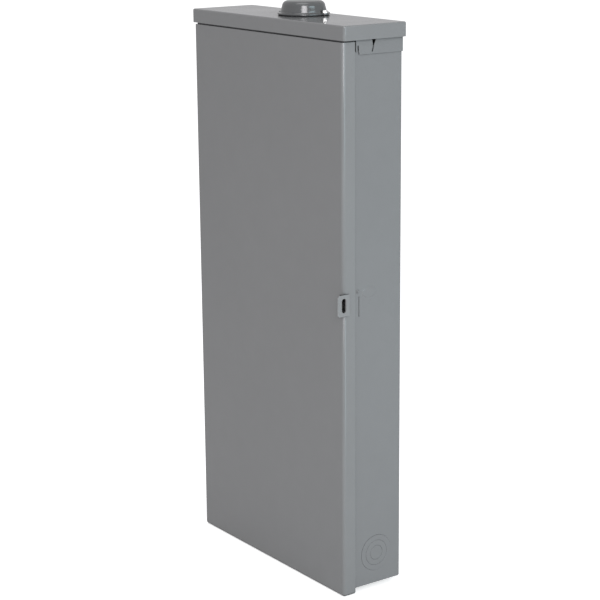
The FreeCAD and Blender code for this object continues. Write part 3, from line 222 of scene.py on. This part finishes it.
def powder_coat(name, colour, rough, peel=1.0, wear=0.35, wave=1.0, seed=0.0, shine=0.5):
    """Baked powder over sheet steel: orange peel, slow waviness, rub marks on the edges, painted
    shade in gaps and closed spaces.
    """
    mat = Finish(name)
    broad = mat.mottle(scale=4.5, detail=3, rough=0.55, to=(0.982, 1.018), seed=seed)
    cloud = mat.mottle(scale=38, detail=3, rough=0.6, to=(0.988, 1.012), seed=seed + 3)
    fleck = mat.mottle(scale=1500, detail=2, rough=0.6, to=(0.975, 1.025), seed=seed + 5)
    tone = mat.shade(colour, mat.times(mat.times(broad, cloud), fleck))
    # rubbed edges, broken up so that they never run as an even line
    edge = mat.edges(radius=0.0010)
    patches = mat.noise(scale=95, detail=4, rough=0.65, seed=seed + 7)
    broken = mat.remap(patches, old=(0.46, 0.66), to=(0.0, 1.0))
    rub = mat.times(mat.remap(edge, old=(0.05, 0.45), to=(0.0, wear)), broken, clamp=True)
    tone = mat.mix(rub, tone, BARE_STEEL)
    # painted shade: narrow gaps and slots darkened by ambient occlusion
    gap = mat.cavity(distance=0.007, samples=6)
    tone = mat.shade(tone, mat.remap(gap, old=(0.20, 0.84), to=(0.12, 1.0)))
    # painted shade: closed spaces darkened by long-range ambient occlusion
    hollow_shade = mat.cavity(distance=0.07, samples=4)
    tone = mat.shade(tone, mat.remap(hollow_shade, old=(0.03, 0.25), to=(0.25, 1.0)))
    # handling marks: long thin faint scuffs in the gloss only
    along = mat.stretched(1.0, 1.0, 0.16)
    scuff = mat.noise(scale=26, detail=5, rough=0.7, space=along, seed=seed + 11)
    gloss = mat.plus(
        mat.mottle(scale=14, detail=3, rough=0.6, to=(rough - 0.03, rough + 0.03), seed=seed + 13),
        mat.remap(scuff, old=(0.62, 0.72), to=(0.0, 0.05)),
    )
    gloss = mat.plus(gloss, mat.times(rub, 0.18))  # rubbed places are duller
    if wave:
        waves = mat.noise(scale=7.5, detail=1, rough=0.4, seed=seed + 17)
        mat.bump(waves, depth=0.00035 * wave)
    coarse = mat.noise(scale=430, detail=2, rough=0.45, seed=seed + 19)
    mat.bump(coarse, depth=0.000022 * peel)
    fine = mat.noise(scale=1900, detail=1, rough=0.5, seed=seed + 23)
    mat.bump(fine, depth=0.000005 * peel)
    return mat.done(tone, gloss, specular=shine)


def metal(name, colour, rough, brushed=None, spangle=0.0, seed=0.0, dull=0.12):
    """Bare or plated metal: mottle, dull spots, and lines drawn by the brushed x, y, z scale."""
    mat = Finish(name)
    tone = mat.mottle(scale=60, detail=4, rough=0.6, to=(0.93, 1.05), seed=seed)
    if spangle:
        flakes = (1.0 - spangle, 1.0 + spangle * 0.6)
        tone = mat.times(tone, mat.remap(mat.cells(scale=170), old=(0.0, 1.0), to=flakes))
    tone = mat.shade(colour, tone)
    spots = mat.noise(scale=420, detail=3, rough=0.7, seed=seed + 2)
    spot = mat.remap(spots, old=(0.60, 0.74), to=(0.0, dull))
    tone = mat.mix(spot, tone, METAL_SPOT)
    limits = (rough - 0.06, rough + 0.08)
    gloss = mat.mottle(scale=180, detail=3, rough=0.6, to=limits, seed=seed + 4)
    gloss = mat.plus(gloss, mat.times(spot, 0.8))  # spots are duller
    if brushed:
        along = mat.stretched(*brushed)
        lines = mat.noise(scale=1.0, detail=2, rough=0.5, space=along, seed=seed + 6)
        gloss = mat.plus(gloss, mat.remap(lines, NOISE_CORE, to=(-0.05, 0.07)))
        mat.bump(lines, depth=0.000012)
    mat.bump(mat.noise(scale=900, detail=2, rough=0.5, seed=seed + 8), depth=0.000006)
    return mat.done(tone, gloss, metallic=1.0)


def moulded(name, colour, rough, grain=1.0, edge=0.10, seed=0.0):
    """Moulded plastic: spark-eroded grain, faint flow tone, polished corners."""
    mat = Finish(name)
    flow = mat.mottle(scale=22, detail=4, rough=0.6, to=(0.94, 1.06), seed=seed)
    speck = mat.mottle(scale=2400, detail=2, rough=0.6, to=(0.93, 1.07), seed=seed + 2)
    tone = mat.shade(colour, mat.times(flow, speck))
    corner = mat.remap(mat.edges(radius=0.0008), old=(0.05, 0.5), to=(0.0, edge))
    lighter = rgb(*(min(1.0, part * 2.2 + 0.03) for part in colour[:3]))
    tone = mat.mix(corner, tone, lighter)
    limits = (rough - 0.05, rough + 0.05)
    gloss = mat.mottle(scale=120, detail=3, rough=0.6, to=limits, seed=seed + 4)
    gloss = mat.calc("SUBTRACT", gloss, mat.times(corner, 0.8))  # corners are shinier
    mat.bump(mat.noise(scale=1300, detail=3, rough=0.6, seed=seed + 6), depth=0.00003 * grain)
    mat.bump(mat.noise(scale=60, detail=1, rough=0.4, seed=seed + 8), depth=0.00008)
    return mat.done(tone, gloss)


def ink(name, colour):
    """Printed ink: slightly uneven coverage."""
    mat = Finish(name)
    tone = mat.shade(colour, mat.mottle(scale=900, detail=3, rough=0.7, to=(0.86, 1.08)))
    mat.bump(mat.noise(scale=2500, detail=2, rough=0.6), depth=0.000008)
    return mat.done(tone, mat.mottle(scale=700, detail=2, rough=0.6, to=(0.48, 0.62)))


def card_stock():
    """Uncoated card: fibres, faint foxing, matt."""
    mat = Finish("card_finish")
    along = mat.stretched(1500, 900, 380)
    fibre = mat.noise(scale=1.0, detail=4, rough=0.7, space=along)
    tone = mat.times(
        mat.remap(fibre, NOISE_CORE, to=(0.95, 1.03)),
        mat.mottle(scale=16, detail=4, rough=0.6, to=(0.96, 1.03)),
    )
    tone = mat.shade(rgb(0.70, 0.68, 0.60), tone)
    blots = mat.noise(scale=48, detail=5, rough=0.7, seed=4)
    tone = mat.mix(mat.remap(blots, old=(0.60, 0.80), to=(0.0, 0.22)), tone, FOXING)
    mat.bump(fibre, depth=0.00003)
    return mat.done(tone, gloss=0.86)


def rubber():
    """Matt black rubber with a coarse grain."""
    mat = Finish("gasket_finish")
    mottle = mat.mottle(scale=90, detail=4, rough=0.6, to=(0.8, 1.3))
    tone = mat.shade(rgb(0.022, 0.022, 0.023), mottle)
    mat.bump(mat.noise(scale=1100, detail=3, rough=0.6), depth=0.00004)
    gloss = mat.mottle(scale=200, detail=3, rough=0.6, to=(0.68, 0.84), seed=2)
    return mat.done(tone, gloss)


GREY = rgb(0.205, 0.208, 0.208)
PAINT = powder_coat("enclosure_paint_finish", GREY, rough=0.19)
CAP_PAINT = powder_coat("rain_cap_finish", GREY, rough=0.15, peel=0.5, wave=0.6, seed=31)
# painted light: the hasp and staple take a lighter copy of the enclosure grey so they read
# brighter
LIT_HASP_PAINT = powder_coat(
    "hasp_lit_finish", rgb(0.222, 0.224, 0.224), rough=0.24, wear=0.5, wave=0, seed=47)
# painted shade: the box body, end walls, knockouts and catch rivet take a darker copy of the
# enclosure grey, so the box side reads darker than the door flange
SHADED_BOX_PAINT = powder_coat("box_shaded_finish", rgb(0.191, 0.194, 0.195), rough=0.21, seed=41)
# painted shade: the catch spring takes a darker copy of the enclosure grey, a darker band on the
# box side
SHADED_CATCH_PAINT = powder_coat(
    "catch_shaded_finish", rgb(0.165, 0.167, 0.167), rough=0.3, wear=0.6, wave=0, seed=43)
HUB_PAINT = powder_coat(
    "hub_finish", rgb(0.082, 0.085, 0.086), rough=0.16, peel=1.6, wave=0, seed=59, shine=1.0)
TRIM = powder_coat("dead_front_finish", rgb(0.30, 0.305, 0.30), rough=0.34, wear=0.3, seed=73)
ZINC = metal(
    "zinc_plate_finish", rgb(0.66, 0.66, 0.63), rough=0.26, brushed=(900, 900, 60), seed=1)
BRIGHT = metal(
    "bright_screw_finish", rgb(0.86, 0.86, 0.84), rough=0.16, brushed=(700, 700, 80), seed=3,
    dull=0.05)
GALV = metal("galvanised_finish", rgb(0.55, 0.56, 0.57), rough=0.38, spangle=0.22, seed=5)
TIN = metal(
    "tinned_bus_finish", rgb(0.70, 0.69, 0.66), rough=0.30, brushed=(900, 900, 40), seed=7)
ALU = metal(
    "aluminium_finish", rgb(0.74, 0.74, 0.73), rough=0.33, brushed=(60, 900, 900), seed=9)
GREEN = powder_coat(
    "green_screw_finish", rgb(0.02, 0.20, 0.06), rough=0.30, wear=0.8, wave=0, seed=83)
CASE = moulded("breaker_case_finish", rgb(0.021, 0.021, 0.022), rough=0.44, seed=11)
HANDLE = moulded(
    "breaker_handle_finish", rgb(0.040, 0.040, 0.041), rough=0.34, grain=0.5, edge=0.2, seed=13)
FILLER = moulded("filler_finish", rgb(0.030, 0.031, 0.032), rough=0.46, grain=1.3, seed=17)
INSULATOR = moulded("insulator_finish", rgb(0.055, 0.050, 0.045), rough=0.5, seed=19)
RUBBER = rubber()
CARD = card_stock()
WHITE_INK = ink("white_ink_finish", rgb(0.72, 0.72, 0.69))
BLACK_INK = ink("black_ink_finish", rgb(0.03, 0.03, 0.032))

BY_SLOT = {
    "enclosure_paint": PAINT,
    "hub_paint": HUB_PAINT,
    "trim_paint": TRIM,
    "zinc_steel": ZINC,
    "galvanised_steel": GALV,
    "tinned_bus": TIN,
    "aluminium": ALU,
    "green_screw": GREEN,
    "breaker_case": CASE,
    "breaker_handle": HANDLE,
    "filler_plastic": FILLER,
    "insulator": INSULATOR,
    "gasket_rubber": RUBBER,
    "card": CARD,
}
# pieces whose finish overrides their slots
BY_NODE = {
    "rain_cap": CAP_PAINT,
    "door_hasp": LIT_HASP_PAINT,
    "box_staple": LIT_HASP_PAINT,
    "hub_screws": BRIGHT,
    "box_body": SHADED_BOX_PAINT,
    "top_end_wall": SHADED_BOX_PAINT,
    "bottom_end_wall": SHADED_BOX_PAINT,
    "side_knockouts": SHADED_BOX_PAINT,
    "bottom_knockouts": SHADED_BOX_PAINT,
    "catch_rivet": SHADED_BOX_PAINT,
    "catch_spring": SHADED_CATCH_PAINT,
}

# width of the broken edge in metres, and the pieces that have it:
# sheared sheet keeps a crisp edge, mouldings a softer one
EDGE_GROUPS = {
    0.00005: "directory_card",
    0.00018: "door box_body rain_cap top_end_wall bottom_end_wall dead_front",
    0.0002: "catch_rivet hinge_pins hinge_box_leaves hinge_door_leaves dead_front_screws",
    0.00022: "hub_screws",
    0.0003: "hub_gasket",
    0.00035: "door_hasp box_staple",
    0.0004: "filler_plates",
    0.0005: "main_breaker_case",
    0.0006: "hub_closing_plate",
    0.0008: "main_breaker_handle",
}
EDGE_WIDTHS = {name: width for width, names in EDGE_GROUPS.items() for name in names.split()}


def edge_width(name):
    if name in EDGE_WIDTHS:
        return EDGE_WIDTHS[name]
    if name.endswith("_handle"):
        return 0.0005
    if name.endswith("_case"):
        return 0.0004
    return 0.00015


def paint_piece(name, piece):
    materials = piece.data.materials
    slots = [material.name if material else "" for material in materials]
    for i, slot in enumerate(slots):
        materials[i] = BY_NODE.get(name) or BY_SLOT.get(slot.split(".")[0], PAINT)
    if not slots:
        materials.append(PAINT)


def break_edges(name, piece):
    weld = piece.modifiers.new("join_faces", "WELD")
    weld.merge_threshold = 2e-6
    bevel = piece.modifiers.new("broken_edge", "BEVEL")
    bevel.width = edge_width(name)
    bevel.segments = 2
    bevel.limit_method = "ANGLE"
    bevel.angle_limit = math.radians(38)
    bevel.use_clamp_overlap = True
    bevel.harden_normals = True
    bevel.miter_outer = "MITER_ARC"


for name, piece in nodes.items():
    paint_piece(name, piece)
    break_edges(name, piece)


# ------------------------------------------------------------------ building printed marks
def metres(point):
    """A point in millimetres, in metres."""
    return tuple(x / 1000 for x in point)


def link_object(name, data):
    made = bpy.data.objects.new(name, data)
    bpy.context.scene.collection.objects.link(made)
    return made


def add_marks(name, shape, material, body):
    """Makes a flat-shaded object that rides a body."""
    mesh = bpy.data.meshes.new(name)
    bmesh.ops.recalc_face_normals(shape, faces=shape.faces[:])
    shape.to_mesh(mesh)
    shape.free()
    for face in mesh.polygons:
        face.use_smooth = False
    mesh.materials.append(material)
    marks = link_object(name, mesh)
    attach(marks, body)


def add_slab(shape, low, high):
    """A closed slab between two corners, in millimetres."""
    (x0, y0, z0), (x1, y1, z1) = metres(low), metres(high)
    corners = [shape.verts.new((x, y, z)) for x in (x0, x1) for y in (y0, y1) for z in (z0, z1)]
    sides = ((0, 1, 3, 2), (4, 6, 7, 5), (0, 4, 5, 1), (2, 3, 7, 6), (0, 2, 6, 4), (1, 5, 7, 3))
    for side in sides:
        shape.faces.new([corners[i] for i in side])


def add_text(shape, text, size, at, right, up, thick):
    """Closed raised figures centred at a surface point, in millimetres.

    They stand out along right x up.
    """
    size, thick = metres((size, thick))
    curve = bpy.data.curves.new("figure", "FONT")
    curve.body = text
    curve.size = size
    curve.align_x = "CENTER"
    curve.align_y = "CENTER"
    curve.extrude = thick / 2
    curve.resolution_u = 3
    figure = link_object("figure", curve)
    graph = bpy.context.evaluated_depsgraph_get()
    mesh = bpy.data.meshes.new_from_object(figure.evaluated_get(graph), depsgraph=graph)
    right, up = Vector(right).normalized(), Vector(up).normalized()
    out = right.cross(up)
    pose = Matrix((right, up, out)).transposed().to_4x4()
    pose.translation = Vector(metres(at)) + out * (thick / 2)
    mesh.transform(pose)
    shape.from_mesh(mesh)
    bpy.data.objects.remove(figure)
    bpy.data.curves.remove(curve)
    bpy.data.meshes.remove(mesh)


# ------------------------------------------------------------------ marks on the front, mm
PITCH, FIRST_Z, ROWS = 25.4, 130.3, 15  # breaker rows, counted down from the top
TRAY_Y = -84.0
PLACE_NUMBER_X = 98.5
CASE_Y, MAIN_CASE_Y = -88, -90
ON_X, OFF_X = 51.3, 80.6
MAIN_ON_Z, MAIN_OFF_Z = 261.5, 219.5
HANDLE_X, MAIN_HANDLE_Z = 66, 241
HANDLE_ROOT_Y = -80.5  # the handles lean about this depth
HANDLE_REACH, MAIN_HANDLE_REACH = 19.01, 22.51  # from the root to just clear of the tip
HANDLE_LEAN, MAIN_HANDLE_LEAN = math.radians(25), math.radians(26)
TRAY_INK, CASE_INK, HANDLE_INK, CARD_INK = 0.12, 0.1, 0.08, 0.05  # thickness
RIGHT, UP = Vector((1, 0, 0)), Vector((0, 0, 1))

# piece, side (-1 left, 1 right), first row, poles, amperes
BREAKERS = [
    ("range_breaker", -1, 0, 2, "50"),
    ("heater_breaker", 1, 0, 2, "30"),
    ("pump_breaker", -1, 2, 2, "20"),
    ("branch_breaker_a", 1, 2, 1, "15"),
    ("branch_breaker_b", 1, 3, 1, "20"),
    ("branch_breaker_c", -1, 4, 1, "15"),
    ("branch_breaker_d", 1, 4, 1, "20"),
]


def row_z(row, poles=1):
    """Height of the middle of a breaker whose top pole is in this row."""
    return FIRST_Z - row * PITCH - (poles - 1) * PITCH / 2


def place_numbers():
    """Numbers beside each row of the dead front: odd left, even right."""
    shape = bmesh.new()
    for row in range(ROWS):
        for number, x in ((2 * row + 1, -PLACE_NUMBER_X), (2 * row + 2, PLACE_NUMBER_X)):
            add_text(shape, str(number), 8.2, (x, TRAY_Y, row_z(row)), RIGHT, UP, TRAY_INK)
    add_marks("place_numbers", shape, BLACK_INK, "enclosure")


def on_off_marks():
    """ON and OFF beside each handle, on the case; on the branch cases they read sideways."""
    shape = bmesh.new()
    for _, side, row, poles, _ in BREAKERS:
        for text, size, x in (("ON", 3.8, ON_X), ("OFF", 3.6, OFF_X)):
            at = (side * x, CASE_Y, row_z(row, poles))
            add_text(shape, text, size, at, (0, 0, side), (-side, 0, 0), CASE_INK)
    for text, z in (("ON", MAIN_ON_Z), ("OFF", MAIN_OFF_Z)):
        add_text(shape, text, 5.5, (0, MAIN_CASE_Y, z), RIGHT, UP, CASE_INK)
    add_marks("on_off_marks", shape, WHITE_INK, "enclosure")


def handle_amps(breaker, amps, size, roots, out, reach, right):
    """Amperes on the tips of a handle, above each root along out; they ride the handle."""
    shape = bmesh.new()
    for root in roots:
        at = Vector(root) + out * reach
        add_text(shape, amps, size, at, right, out.cross(right), HANDLE_INK)
    add_marks(breaker + "_amps", shape, WHITE_INK, breaker + "_handle")


def branch_amps(breaker, side, row, poles, amps):
    """These handles lean towards the middle of the panel."""
    z = row_z(row, poles)
    offsets = (0,) if poles == 1 else (-PITCH / 2, PITCH / 2)
    handle_amps(
        breaker, amps, size=3.6,
        roots=[(side * HANDLE_X, HANDLE_ROOT_Y, z + offset) for offset in offsets],
        out=Vector((-side * math.sin(HANDLE_LEAN), -math.cos(HANDLE_LEAN), 0)),
        reach=HANDLE_REACH, right=Vector((0, 0, side)),
    )


def main_amps():
    """This handle leans upwards."""
    handle_amps(
        "main_breaker", "100", size=4.6,
        roots=[(0, HANDLE_ROOT_Y, MAIN_HANDLE_Z)],
        out=Vector((0, -math.cos(MAIN_HANDLE_LEAN), math.sin(MAIN_HANDLE_LEAN))),
        reach=MAIN_HANDLE_REACH, right=RIGHT,
    )


place_numbers()
on_off_marks()
for breaker in BREAKERS:
    branch_amps(*breaker)
main_amps()

# ------------------------------------------------------------------ directory card, mm
CARD_SIDE, CARD_HEAD, CARD_FOOT = 8, 34, 10  # margins round the ruled table
NUMBER_COLUMN = 16
ODD_COLUMN_X = -0.5
ROW_HALF, COLUMN_HALF, HEADING_HALF = 0.18, 0.2, 0.4  # half widths of the lines
HEADING_RISE = 19
CARD_GAP = 0.01  # ink stands this far clear of the card


def card_ruling():
    """Ruled lines and place numbers, read from inside the door: right is -X, out is +Y."""
    low, high = [corner * 1000 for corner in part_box("directory_card")]
    y = high.y + CARD_GAP
    x_low, x_high = low.x + CARD_SIDE, high.x - CARD_SIDE
    z_top, z_bottom = high.z - CARD_HEAD, low.z + CARD_FOOT
    step = (z_top - z_bottom) / ROWS
    shape = bmesh.new()

    def line(x0, x1, z0, z1):
        add_slab(shape, (x0, y, z0), (x1, y + CARD_INK, z1))

    for i in range(ROWS + 1):
        z = z_top - i * step
        line(x_low, x_high, z - ROW_HALF, z + ROW_HALF)
    columns = (x_low, x_low + NUMBER_COLUMN, ODD_COLUMN_X, ODD_COLUMN_X + NUMBER_COLUMN, x_high)
    for x in columns:
        line(x - COLUMN_HALF, x + COLUMN_HALF, z_bottom - ROW_HALF, z_top + ROW_HALF)
    heading = z_top + HEADING_RISE
    line(x_low, x_high, heading - HEADING_HALF, heading + HEADING_HALF)
    for i in range(ROWS):
        z = z_top - (i + 0.5) * step
        for number, x in ((2 * i + 2, x_low), (2 * i + 1, ODD_COLUMN_X)):
            at = (x + NUMBER_COLUMN / 2, y, z)
            add_text(shape, str(number), 7.5, at, -RIGHT, UP, CARD_INK)
    add_marks("card_ruling", shape, BLACK_INK, "door")


card_ruling()

# ------------------------------------------------------------------ floor
FLOOR_HALF = 60
FLOOR_DROP = 0.0004  # below the lowest point of the enclosure
FLOOR_LIFT = 0.62  # glow added to the floor for the camera only


def floor_material():
    material = bpy.data.materials.new("studio_floor")
    tree = empty_tree(material)
    output = tree.nodes.new("ShaderNodeOutputMaterial")
    both = tree.nodes.new("ShaderNodeAddShader")
    diffuse = tree.nodes.new("ShaderNodeBsdfDiffuse")
    glow = tree.nodes.new("ShaderNodeEmission")
    path = tree.nodes.new("ShaderNodeLightPath")
    lift = tree.nodes.new("ShaderNodeMath")
    lift.operation = "MULTIPLY"
    lift.inputs[1].default_value = FLOOR_LIFT
    diffuse.inputs["Color"].default_value = rgb(0.86, 0.86, 0.86)
    glow.inputs["Color"].default_value = rgb(1, 1, 1)
    tree.links.new(path.outputs["Is Camera Ray"], lift.inputs[0])
    tree.links.new(lift.outputs[0], glow.inputs["Strength"])
    tree.links.new(diffuse.outputs[0], both.inputs[0])
    tree.links.new(glow.outputs[0], both.inputs[1])
    tree.links.new(both.outputs[0], output.inputs[0])
    return material


def studio_floor():
    shape = bmesh.new()
    for x, y in ((-1, -1), (1, -1), (1, 1), (-1, 1)):
        shape.verts.new((x * FLOOR_HALF, y * FLOOR_HALF, CAD_BOX[0].z - FLOOR_DROP))
    shape.faces.new(shape.verts[:])
    mesh = bpy.data.meshes.new("studio_floor")
    shape.to_mesh(mesh)
    shape.free()
    mesh.materials.append(floor_material())
    link_object("studio_floor", mesh)


studio_floor()


# ------------------------------------------------------------------ light
def background(tree, colour, strength):
    node = tree.nodes.new("ShaderNodeBackground")
    node.inputs["Color"].default_value = colour
    node.inputs["Strength"].default_value = strength
    return node


def studio_world():
    """White to the camera, a dimmer fill for everything else."""
    world = bpy.data.worlds.new("studio")
    bpy.context.scene.world = world
    tree = empty_tree(world)
    output = tree.nodes.new("ShaderNodeOutputWorld")
    mix = tree.nodes.new("ShaderNodeMixShader")
    path = tree.nodes.new("ShaderNodeLightPath")
    seen_white = background(tree, colour=rgb(1, 1, 1), strength=1.0)
    fill = background(tree, colour=rgb(0.985, 0.98, 1.0), strength=0.60)
    tree.links.new(path.outputs["Is Camera Ray"], mix.inputs[0])
    tree.links.new(fill.outputs[0], mix.inputs[1])
    tree.links.new(seen_white.outputs[0], mix.inputs[2])
    tree.links.new(mix.outputs[0], output.inputs[0])


def around(azimuth, elevation, distance):
    """A place round the origin, angles in radians: azimuth 0 is in front, pi/2 at +X."""
    return (
        distance * math.sin(azimuth) * math.cos(elevation),
        -distance * math.cos(azimuth) * math.cos(elevation),
        distance * math.sin(elevation),
    )


def softbox(name, azimuth, elevation, distance, size, power, tint):
    """A rectangular light aimed at the origin; angles in degrees."""
    lamp = bpy.data.lights.new(name, "AREA")
    lamp.shape = "RECTANGLE"
    lamp.size, lamp.size_y = size
    lamp.energy = power
    lamp.color = tint
    lamp.spread = math.radians(180)
    at = around(math.radians(azimuth), math.radians(elevation), distance)
    box = link_object(name, lamp)
    box.location = at
    box.rotation_mode = "QUATERNION"
    box.rotation_quaternion = (-Vector(at)).to_track_quat("-Z", "Y")


studio_world()
softbox("key_box", azimuth=57, elevation=24, distance=3.6, size=(1.5, 1.7), power=50.0,
        tint=(1.0, 0.975, 1.0))
softbox("side_box", azimuth=98, elevation=10, distance=3.4, size=(1.8, 2.2), power=35.5,
        tint=(0.69, 0.92, 1.0))
softbox("top_box", azimuth=20, elevation=82, distance=3.0, size=(1.6, 1.6), power=11.0,
        tint=(1.0, 1.0, 1.0))


# ------------------------------------------------------------------ camera
def add_camera(place, azimuth, elevation, roll, lens):
    """A camera looking back from its azimuth and elevation; angles in radians."""
    back = Vector(around(azimuth, elevation, 1))
    right = (-back).cross(UP).normalized()
    up = right.cross(-back)
    rolled_right = math.cos(roll) * right + math.sin(roll) * up
    rolled_up = -math.sin(roll) * right + math.cos(roll) * up
    data = bpy.data.cameras.new("camera")
    data.lens = lens
    data.sensor_width = 36
    data.clip_start, data.clip_end = 0.05, 200
    camera = link_object("camera", data)
    pose = Matrix((rolled_right, rolled_up, back)).transposed().to_4x4()
    pose.translation = Vector(place)
    camera.matrix_world = pose
    bpy.context.scene.camera = camera


add_camera(
    place=(2.10613691, -1.55032291, 0.63357768),
    azimuth=0.952629491, elevation=0.246071227, roll=-0.008823711, lens=105.43556,
)

view = bpy.context.scene.view_settings
view.view_transform = "Standard"
view.look = "None"
view.exposure = 0.0
view.gamma = 1.0

bpy.context.view_layer.update()
